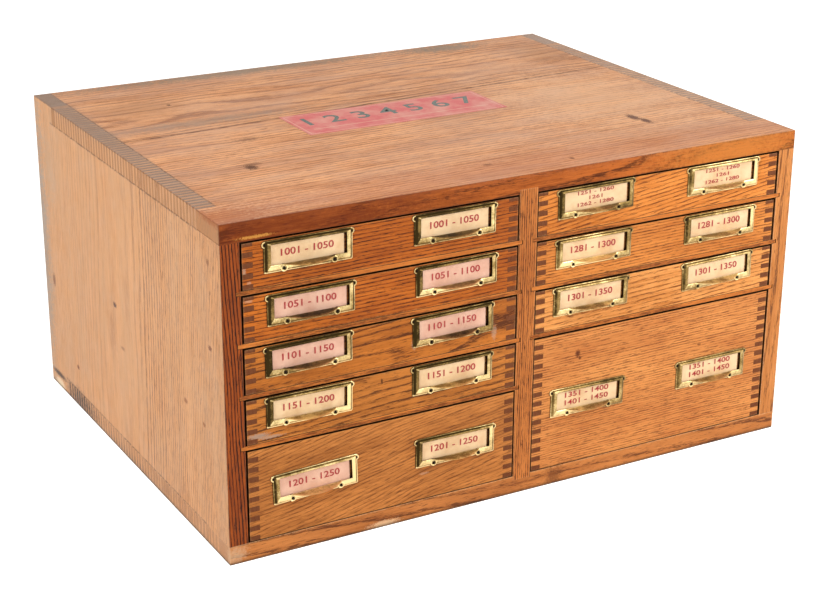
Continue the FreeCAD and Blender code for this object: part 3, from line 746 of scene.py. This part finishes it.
def add_stamped_frame(bm):
    """The stamping round the window: flange, bevel, raised face and the turned-in window edge."""
    half = PULL_WIDTH / 2
    # Half width, low, top, corner radius, height and rub of each row, from the wood out and back in
    rows = [
        (half, FLANGE_LOW, FLANGE_TOP, 1.2, 0.0, 0.2),
        (half, FLANGE_LOW, FLANGE_TOP, 1.2, SHEET - 0.2, 0.9),
        (half - 0.2, FLANGE_LOW + 0.2, FLANGE_TOP - 0.2, 1.1, SHEET, 1.1),
        (half - 0.8, FLANGE_LOW + 0.9, FLANGE_TOP - 0.5, 1.0, SHEET + 0.05, 0.8),
        (half - 1.1, FLANGE_LOW + 1.2, FLANGE_TOP - 0.7, 1.0, SHEET + 0.4, 0.0),
        (half - 2.3, FLANGE_LOW + 2.2, FLANGE_TOP - 1.4, 1.0, FACE - 0.35, 0.1),
        (half - 2.9, FLANGE_LOW + 2.8, FLANGE_TOP - 1.8, 1.0, FACE, 0.8),
        (WINDOW_HALF + 0.4, WINDOW_LOW - 0.4, WINDOW_TOP + 0.4, 0.8, FACE, 0.9),
        (WINDOW_HALF, WINDOW_LOW, WINDOW_TOP, 0.6, FACE - 0.3, 0.6),
        (WINDOW_HALF, WINDOW_LOW, WINDOW_TOP, 0.6, FACE - SHEET, 0.0),
        (WINDOW_HALF + 2.0, WINDOW_LOW - 2.0, WINDOW_TOP + 1.2, 0.6, FACE - SHEET, 0.0),
        (WINDOW_HALF + 2.6, WINDOW_LOW - 2.6, WINDOW_TOP + 1.8, 0.6, 0.0, 0.0),
    ]
    outlines = [rounded_outline(bm, *row) for row in rows]
    for first, second in zip(outlines, outlines[1:] + outlines[:1]):
        bmesh.ops.bridge_loops(bm, edges=first + second)


def add_turned(bm, across, up, profile, steps=20):
    """A small round part on an axis out of the wood, spun from its radius, height and rub."""
    centre = Vector((across, up, 0.0))
    vertices = []
    for radius, out, rub_and_reflection in [(0.0, profile[0][1], 0.0)] + profile + [(0.0, profile[-1][1], 0.0)]:
        vertex = bm.verts.new(centre + Vector((radius, 0.0, out)))
        rub(bm, [vertex], rub_and_reflection)
        vertices.append(vertex)
    edges = [bm.edges.new(pair) for pair in zip(vertices, vertices[1:])]
    bmesh.ops.spin(
        bm, geom=vertices + edges, cent=centre, axis=(0, 0, 1), angle=2 * math.pi,
        steps=steps, use_merge=True,
    )


def add_lip(bm):
    """The bowed finger lip: a thin tongue from the window's lower edge, a little curled down at its rim."""
    radius = (LIP_HALF ** 2 + LIP_REACH ** 2) / (2 * LIP_REACH)
    tongue = bmesh.ops.create_grid(bm, x_segments=28, y_segments=5, size=1.0)["verts"]
    for vertex in tongue:
        across = LIP_HALF * vertex.co.x
        share = (vertex.co.y + 1) / 2
        reach = math.sqrt(radius ** 2 - across ** 2) - (radius - LIP_REACH)
        drop = LIP_CURL * (reach / LIP_REACH) * share ** 2
        vertex.co = (across, WINDOW_LOW - 0.05 - drop, FACE - LIP_ROOT + (reach + LIP_ROOT) * share)
        rub(bm, [vertex], 0.54 + 0.7 * share ** 6)
    faces = list({face for vertex in tongue for face in vertex.link_faces})
    bmesh.ops.solidify(bm, geom=faces, thickness=LIP_THICKNESS)


def add_pull(bm):
    """One stamped pull with its ears and bosses, at its own origin."""
    add_stamped_frame(bm)
    for sign in (-1, 1):
        ear = [(2.9, 0.0, 0.2), (2.9, 0.6, 0.8), (2.7, 0.85, 1.1), (2.0, 0.9, 0.6), (1.2, 0.75, 0.0)]
        add_turned(bm, sign * EAR_SPACING / 2, 0.0, ear)
        boss = [(3.5, 0.0, 0.0), (3.5, FACE - 0.6, 0.6), (3.2, FACE, 1.0)]
        boss += [(2.4, FACE + 0.3, 1.1), (1.9, FACE + 0.1, 0.2), (1.4, FACE - 0.3, 0.0)]
        add_turned(bm, sign * BOSS_SPACING / 2, BOSS_LEVEL, boss)
    add_lip(bm)


def add_pins(bm):
    """The four dark pins of one pull, each a small round head."""
    for sign in (-1, 1):
        for across, up, out in ((EAR_SPACING / 2, 0.0, 0.8), (BOSS_SPACING / 2, BOSS_LEVEL, FACE - 0.1)):
            head = [(1.5, -0.1), (1.5, 0.15), (1.2, 0.42), (0.7, 0.58)]
            add_turned(bm, sign * across, up, [(radius, out + rise, 0.0) for radius, rise in head], 14)


def stamped_brass(name):
    """Sheet brass, stamped and left bare: olive-brown tarnish in hollows, pale gold where hands rub it, and
    painted reflection.
    """
    material, tree = new_material(name)
    local = millimetres(tree)
    across, _, up = add(tree, "SeparateXYZ", local).node.outputs
    clouds = add(tree, "TexNoise", local, 1 / TARNISH_CLOUD, 4.0, 0.65)
    flecks = add(tree, "TexNoise", local, 1 / TARNISH_FLECK, 4.0, 0.7)
    rub_and_reflection = add(tree, "Attribute", attribute_name="rub_and_reflection").node.outputs["Fac"]

    # Painted reflection: the right column's pulls are brighter, in their hollows too
    column = add(tree, "MapRange", across, -60.0, 60.0, 0.0, 0.5)
    rub_and_reflection = add(tree, "Mix", column, rub_and_reflection, 1.0, data_type="FLOAT")
    bright = add(tree, "Math", clouds, 1.3, rub_and_reflection, operation="MULTIPLY_ADD")
    bright = add(tree, "Math", flecks, 0.9, bright, operation="MULTIPLY_ADD")

    # Painted dark reflection: faces turned up or to the left are darker where the brass isn't rubbed
    turned = add(tree, "NewGeometry").node.outputs["Normal"]
    turned = add(tree, "VectorMath", turned, (-0.8, 0.0, 0.5), operation="DOT_PRODUCT")
    turned = turned.node.outputs["Value"]
    dark_reflection = add(tree, "MapRange", turned, 0.15, 0.7, 0.0, -0.6)
    unrubbed = add(tree, "MapRange", rub_and_reflection, 0.2, 0.7, 1.0, 0.0)
    bright = add(tree, "Math", dark_reflection, unrubbed, bright, operation="MULTIPLY_ADD")
    each = add(tree, "TexNoise", local, 1 / PULL_TO_PULL, 1.0, 0.5)
    bright = add(tree, "Math", each, 1.4, bright, operation="MULTIPLY_ADD")

    # Painted reflection: the left column's lowest pulls are brighter as a whole
    lowest = add(tree, "MapRange", up, 90.0, 180.0, 0.45, 0.0)
    left = add(tree, "MapRange", across, -60.0, 60.0, 1.0, 0.0)
    bright = add(tree, "Math", lowest, left, bright, operation="MULTIPLY_ADD")
    bright = add(tree, "MapRange", bright, 1.95, 3.05, 0.0, 1.0)
    stops = [(0.0, "362A14"), (0.5, "8C7242"), (1.0, "E8CE94")]
    colour = add(tree, "ValToRGB", bright, stops=stops)
    roughness = add(tree, "MapRange", bright, 0.0, 1.0, 0.5, 0.28)
    close_material(tree, colour, roughness, flecks, 0.05, Metallic=1.0)
    return material


def blackened_steel(name):
    """Drawn steel wire, blackened, dull and full of dirt, so that pins and nails read as dark dots."""
    material, tree = new_material(name)
    local = millimetres(tree)
    flecks = add(tree, "TexNoise", local, 1 / STEEL_FLECK, 3.0, 0.6)
    colour = add(tree, "Mix", flecks, "100C0A", "2E241C", data_type="RGBA")
    close_material(tree, colour, 0.55, flecks, 0.05, Metallic=1.0)
    return material


# How each pull hangs: right and up from the middle between its upper pins' nominal places, and its turn
HUNG = {
    "left_drawer_1": ((-1.5, -0.5, 0.0), (-2.5, 0.0, 0.0)),
    "left_drawer_2": ((0.5, -1.0, 0.0), (-0.5, -0.5, 0.5)),
    "left_drawer_3": ((-2.5, 0.0, 0.5), (-3.5, 0.0, 1.0)),
    "left_drawer_4": ((-2.5, 0.0, -0.5), (-3.5, 0.0, 0.0)),
    "left_drawer_5": ((1.5, 2.5, 2.0), (0.5, 3.0, -0.5)),
    "right_drawer_1": ((-1.5, 0.5, 0.5), (-0.5, 0.5, 0.0)),
    "right_drawer_2": ((-2.0, 0.0, 0.0), (-1.0, 0.0, 0.0)),
    "right_drawer_3": ((-3.0, 0.5, -0.5), (-1.0, 0.5, 1.0)),
    "right_drawer_4": ((-2.5, -2.5, -1.0), (-1.0, -3.0, 0.0)),
}
PULL_OFFSET = 73.0
PULL_DROP = 3.8


def pull_places(drawer):
    """The matrix of each pull of a drawer, from its own millimetres to the cabinet's metres."""
    low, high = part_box(f"{drawer}_front")
    large = drawer in ("left_drawer_5", "right_drawer_4")
    middle = (low.x + high.x) / 2
    level = (low.z + high.z) / 2 + (PULL_HEIGHT / 2 - EAR_DROP) * MM if large else high.z - PULL_DROP * MM
    # A pull's own up is the cabinet's up, and its own way out of the wood leads to the front
    upright = Matrix(((1, 0, 0), (0, 0, -1), (0, 1, 0))).to_4x4()
    places = []
    for sign, (right, up, turn) in zip((-1, 1), HUNG[drawer]):
        spot = Vector((middle + (sign * PULL_OFFSET + right) * MM, low.y, level + up * MM))
        turned = Matrix.Rotation(math.radians(turn), 4, "Z")
        places.append(Matrix.Translation(spot) @ upright @ turned @ Matrix.Scale(MM, 4))
    return places


BRASS = stamped_brass("stamped_sheet_brass")
PIN_METAL = blackened_steel("blackened_pin_steel")
for drawer in DRAWERS:
    pulls = bmesh.new()
    pins = bmesh.new()
    for bm in (pulls, pins):
        bm.verts.layers.float.new("rub_and_reflection")
    for place in pull_places(drawer):
        for bm, build in ((pulls, add_pull), (pins, add_pins)):
            before = len(bm.verts)
            build(bm)
            bm.verts.ensure_lookup_table()
            bmesh.ops.transform(bm, matrix=place, verts=bm.verts[before:])
    node = f"{drawer}_pulls"
    smooth_by_angle(make_piece(f"{drawer}_stamped_pulls", pulls, drawer, BRASS, [node]), 40)
    smooth_by_angle(make_piece(f"{drawer}_pull_pins", pins, drawer, PIN_METAL, [node]), 60)


# The cards and their plain numbers, in millimetres; bolder and depth are shares of the type's height

CARD_LEFT = -WINDOW_HALF - 1.8
CARD_RIGHT = WINDOW_HALF - 2.0
CARD_LOW = WINDOW_LOW - 1.8
CARD_TOP = WINDOW_TOP + 1.8
CARD_THICKNESS = 0.4
CARD_CLOUD = 20.0
PAPER_FIBRE = 0.33
THIN_INK = 0.83
NUMBERS = {
    "left_drawer_1": ["1001 - 1050"],
    "left_drawer_2": ["1051 - 1100"],
    "left_drawer_3": ["1101 - 1150"],
    "left_drawer_4": ["1151 - 1200"],
    "left_drawer_5": ["1201 - 1250"],
    "right_drawer_1": ["1251 - 1260", "1261", "1262 - 1280"],
    "right_drawer_2": ["1281 - 1300"],
    "right_drawer_3": ["1301 - 1350"],
    "right_drawer_4": ["1351 - 1400", "1401 - 1450"],
}


def pressed_card(name, light, stained):
    """Card pressed from paper pulp and left uncoated: matt, faintly fibrous, and browned in clouds by age."""
    material, tree = new_material(name)
    local = millimetres(tree)
    clouds = add(tree, "TexNoise", local, 1 / CARD_CLOUD, 4.0, 0.6)
    fibres = add(tree, "TexNoise", local, 1 / PAPER_FIBRE, 3.0, 0.6)
    stain = add(tree, "MapRange", clouds, 0.4, 0.7, 0.0, 1.0)
    colour = add(tree, "Mix", stain, light, stained, data_type="RGBA")
    close_material(tree, colour, 0.7, fibres, 0.03)
    return material


def letterpress_ink(name, ink):
    """Letterpress ink, pressed on from type: matt, and thin in places so that the paper shows through."""
    material, tree = new_material(name)
    local = millimetres(tree)
    thin = add(tree, "TexNoise", local, 1 / THIN_INK, 3.0, 0.7)
    faded = add(tree, "MapRange", thin, 0.5, 0.8, 0.0, 0.5)
    colour = add(tree, "Mix", faded, ink, "DDB79A", data_type="RGBA")
    close_material(tree, colour, 0.6)
    return material


def add_text(bm, text, height, width, place):
    """Adds printed characters to a mesh, fitted to a width, with the middle of the line at the place."""
    curve = bpy.data.curves.new("print", "FONT")
    curve.body = text
    curve.size = 1.0
    curve.offset = PRINT_BOLDER
    curve.extrude = PRINT_DEPTH
    curve.align_x = "CENTER"
    curve.align_y = "CENTER"
    curve.resolution_u = 3
    holder = bpy.data.objects.new("print", curve)
    mesh = bpy.data.meshes.new_from_object(holder)
    across = [vertex.co.x for vertex in mesh.vertices]
    up = [vertex.co.y for vertex in mesh.vertices]
    scale = (width / (max(across) - min(across)), height / (max(up) - min(up)), 1.0)
    centre = Vector(((max(across) + min(across)) / 2, (max(up) + min(up)) / 2, 0.0))
    mesh.transform(place @ Matrix.Diagonal((*scale, 1.0)) @ Matrix.Translation(-centre))
    bm.from_mesh(mesh)
    bpy.data.objects.remove(holder)
    bpy.data.curves.remove(curve)
    bpy.data.meshes.remove(mesh)


def add_card(bm, place, number):
    """A thin card, a little bowed between the bars that hold it."""
    card = bmesh.ops.create_grid(bm, x_segments=12, y_segments=1, size=1.0)["verts"]
    strength = 0.14 + 0.2 * noise.noise((number * 7.3, 0.0, 0.0)) ** 2
    for vertex in card:
        across = CARD_LEFT + (CARD_RIGHT - CARD_LEFT) * (vertex.co.x + 1) / 2
        up = CARD_LOW + (CARD_TOP - CARD_LOW) * (vertex.co.y + 1) / 2
        bow = strength * math.cos(vertex.co.x * math.pi / 2) * (0.8 - 0.2 * vertex.co.y)
        vertex.co = (across, up, bow + CARD_THICKNESS)
    faces = list({face for vertex in card for face in vertex.link_faces})
    thick = bmesh.ops.solidify(bm, geom=faces, thickness=CARD_THICKNESS)["geom"]
    vertices = set(card) | {piece for piece in thick if isinstance(piece, bmesh.types.BMVert)}
    bmesh.ops.transform(bm, matrix=place, verts=list(vertices))


RED_INK = letterpress_ink("red_letterpress_ink", "B01C26")
PAPERS = {
    "cream": pressed_card("cream_pressed_card", "F8D6A8", "E6BA8A"),
    "pink": pressed_card("pink_pressed_card", "F0C0A6", "DEA68C"),
}
CARD_COLOURS = {
    "left_drawer_2": ("pink", "pink"),
    "left_drawer_3": ("pink", "pink"),
    "left_drawer_5": ("pink", "cream"),
}
PRINT_BOLDER = 0.012
PRINT_DEPTH = 0.01
PRINT_LEFT = 1.0
PRINT_RAISE = 0.8
PRINT_CLEAR = 0.38
LONGEST_LINE = 11
# By the number of printed lines on a card: height of the characters, from line to line, full width
PRINT_SIZES = {1: (6.4, 0.0, 50.0), 2: (5.4, 8.0, 50.0), 3: (3.6, 5.6, 40.0)}

for number, drawer in enumerate(DRAWERS, start=1):
    colours = CARD_COLOURS.get(drawer, ("cream", "cream"))
    cards = {colour: bmesh.new() for colour in dict.fromkeys(colours)}
    print_mesh = bmesh.new()
    lines = NUMBERS[drawer]
    height, pitch, full_width = PRINT_SIZES[len(lines)]
    for pull, place in enumerate(pull_places(drawer)):
        add_card(cards[colours[pull]], place, 2 * number + pull)
        for line, text in enumerate(lines):
            up = (WINDOW_LOW + WINDOW_TOP) / 2 + PRINT_RAISE + pitch * ((len(lines) - 1) / 2 - line)
            width = full_width * len(text) / LONGEST_LINE
            spot = place @ Matrix.Translation((-PRINT_LEFT, up, CARD_THICKNESS + PRINT_CLEAR))
            add_text(print_mesh, text, height, width, spot)
    for colour, cut in cards.items():
        make_piece(f"{drawer}_{colour}_cards", cut, drawer, PAPERS[colour], [f"{drawer}_cards"])
    make_piece(f"{drawer}_card_numbers", print_mesh, drawer, RED_INK)


# The label on the top: red paper with a ruled border and a plain row of digits, in millimetres

PAPER_EDGE = 0.05
LABEL_CLOUD = 33.0
LABEL_FLECK = 2.0
BORDER_INSET = 3.0
BORDER_HALF = 0.6
RULED_LEVEL = -19.0
RULED_HALF = 0.7
RULED_INSET = 12.0
DIGITS_LEVEL = 8.0
DIGITS_HEIGHT = 26.0
DIGITS_WIDTH = 192.0
DIGITS_CLEAR = 0.01


def printed_label_paper(name, low, high):
    """Thin paper, printed solid red and glued on: faded in clouds, rubbed through in flecks, pale lines."""
    material, tree = new_material(name)
    local = millimetres(tree, (low + high) / 2)
    across, up, _ = add(tree, "SeparateXYZ", local).node.outputs
    clouds = add(tree, "TexNoise", local, 1 / LABEL_CLOUD, 5.0, 0.65)
    flecks = add(tree, "TexNoise", local, 1 / LABEL_FLECK, 4.0, 0.7)
    faded = add(tree, "MapRange", clouds, 0.42, 0.65, 0.0, 1.0)
    colour = add(tree, "Mix", faded, "C8605C", "D08C7C", data_type="RGBA")

    # Ruled lines: a border inside the rim, and one line below the digits
    from_rim = add(tree, "Math", *to_sides(tree, (across, up), high - low), operation="MINIMUM")
    border = add(tree, "Math", from_rim, BORDER_INSET, BORDER_HALF, operation="COMPARE")
    ruled = add(tree, "Math", up, RULED_LEVEL, RULED_HALF, operation="COMPARE")
    inside = add(tree, "Math", from_rim, RULED_INSET, operation="GREATER_THAN")
    ruled = add(tree, "Math", ruled, inside, operation="MULTIPLY")
    printed = add(tree, "Math", border, ruled, operation="MAXIMUM")
    printed = add(tree, "Math", printed, 0.6, operation="MULTIPLY")
    colour = add(tree, "Mix", printed, colour, "D9B098", data_type="RGBA")
    lost = add(tree, "MapRange", flecks, 0.6, 0.7, 0.0, 0.6)
    colour = add(tree, "Mix", lost, colour, "C08E74", data_type="RGBA")
    close_material(tree, colour, 0.7, flecks, 0.05)
    return material


# The paper is a little thinner than its CAD solid, so that the print stays inside the CAD model's box
low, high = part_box("top_label")
high.z -= 2 * DIGITS_CLEAR * MM
sheet = bmesh.new()
bmesh.ops.create_cube(sheet, size=1.0)
middle = (low + high) / 2
bmesh.ops.transform(sheet, matrix=Matrix.LocRotScale(middle, None, high - low), verts=sheet.verts)
soften(sheet, sheet.edges, PAPER_EDGE * MM, 1)
red_paper = printed_label_paper("red_label_paper", low, high)
make_piece("red_label", sheet, "cabinet", red_paper, ["top_label"])
digits = bmesh.new()
spot = Vector((middle.x, middle.y + DIGITS_LEVEL * MM, high.z + DIGITS_CLEAR * MM))
above = Matrix.Translation(spot) @ Matrix.Scale(MM, 4)
add_text(digits, "1 2 3 4 5 6 7", DIGITS_HEIGHT, DIGITS_WIDTH, above)
green_ink = letterpress_ink("grey_green_letterpress_ink", "42524A")
make_piece("label_digits", digits, "cabinet", green_ink)

# The nails of the back panel keep their CAD shape
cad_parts["back_nails"].material_slots[0].material = blackened_steel("blackened_nail_steel")


# Floor, light and camera, in metres

FLOOR_HALF = 6.0


def sees_background(tree):
    """1 for the rays that show the background: straight to the camera, mirrored or through glass."""
    ray = add(tree, "LightPath").node.outputs
    seen = add(tree, "Math", ray["Is Camera Ray"], ray["Is Glossy Ray"], operation="MAXIMUM")
    return add(tree, "Math", seen, ray["Is Transmission Ray"], operation="MAXIMUM")


def make_floor():
    """A board painted matt white, wide enough to meet the background: only the soft shadow shows on it."""
    material, tree = new_material("matt_painted_floor")
    paint = add(tree, "BsdfDiffuse", "F4F2EE")
    strength = add(tree, "Math", sees_background(tree), 0.6, operation="MULTIPLY")
    glow = add(tree, "Emission", (1.0, 1.0, 1.0, 1.0), strength)
    add(tree, "OutputMaterial", add(tree, "AddShader", paint, glow))
    bm = bmesh.new()
    bmesh.ops.create_grid(bm, x_segments=1, y_segments=1, size=FLOOR_HALF)
    place_mesh("floor", bm, material)


def make_world():
    """Even pale light from all round, and plain white where the background shows."""
    world = bpy.data.worlds.new("studio")
    bpy.context.scene.world = world
    world.use_nodes = True
    tree = world.node_tree
    tree.nodes.clear()
    soft = add(tree, "Background", (1.0, 0.99, 0.97, 1.0), 0.4)
    white = add(tree, "Background", (1.0, 1.0, 1.0, 1.0), 1.0)
    add(tree, "OutputWorld", add(tree, "MixShader", sees_background(tree), soft, white))


def make_light(name, place, aim, size, watts):
    """A soft box of a width and height, which stands at a place and is aimed at a point."""
    data = bpy.data.lights.new(name, "AREA")
    data.shape = "RECTANGLE"
    data.size, data.size_y = size
    data.energy = watts
    light = bpy.data.objects.new(name, data)
    light.location = place
    light.rotation_euler = (Vector(aim) - Vector(place)).to_track_quat("-Z", "Y").to_euler()
    bpy.context.scene.collection.objects.link(light)


# From a fit of the cabinet's corners to the photograph: metres, degrees, and millimetres for the lens
CAMERA_PLACE = (-0.8733, -1.5846, 0.8104)
CAMERA_TURN = (69.01, -0.32, -29.25)
CAMERA_LENS = 79.94
CAMERA_SENSOR = 36.0


def make_camera():
    """The photograph's own view of the cabinet."""
    data = bpy.data.cameras.new("camera")
    data.sensor_width = CAMERA_SENSOR
    data.lens = CAMERA_LENS
    camera = bpy.data.objects.new("camera", data)
    camera.location = CAMERA_PLACE
    camera.rotation_euler = [math.radians(angle) for angle in CAMERA_TURN]
    bpy.context.scene.collection.objects.link(camera)
    bpy.context.scene.camera = camera


make_floor()
make_world()
make_light("key", (-1.6, -0.5, 2.0), (0.0, 0.0, 0.15), (1.4, 1.4), 37.0)
make_light("fill", (1.2, -1.5, 1.0), (0.2, -0.2, 0.15), (0.9, 1.2), 26.0)
make_light("rim", (1.5, 1.5, 1.3), (0.1, 0.0, 0.3), (1.2, 1.2), 6.0)
make_camera()
bpy.context.scene.view_settings.view_transform = "Standard"
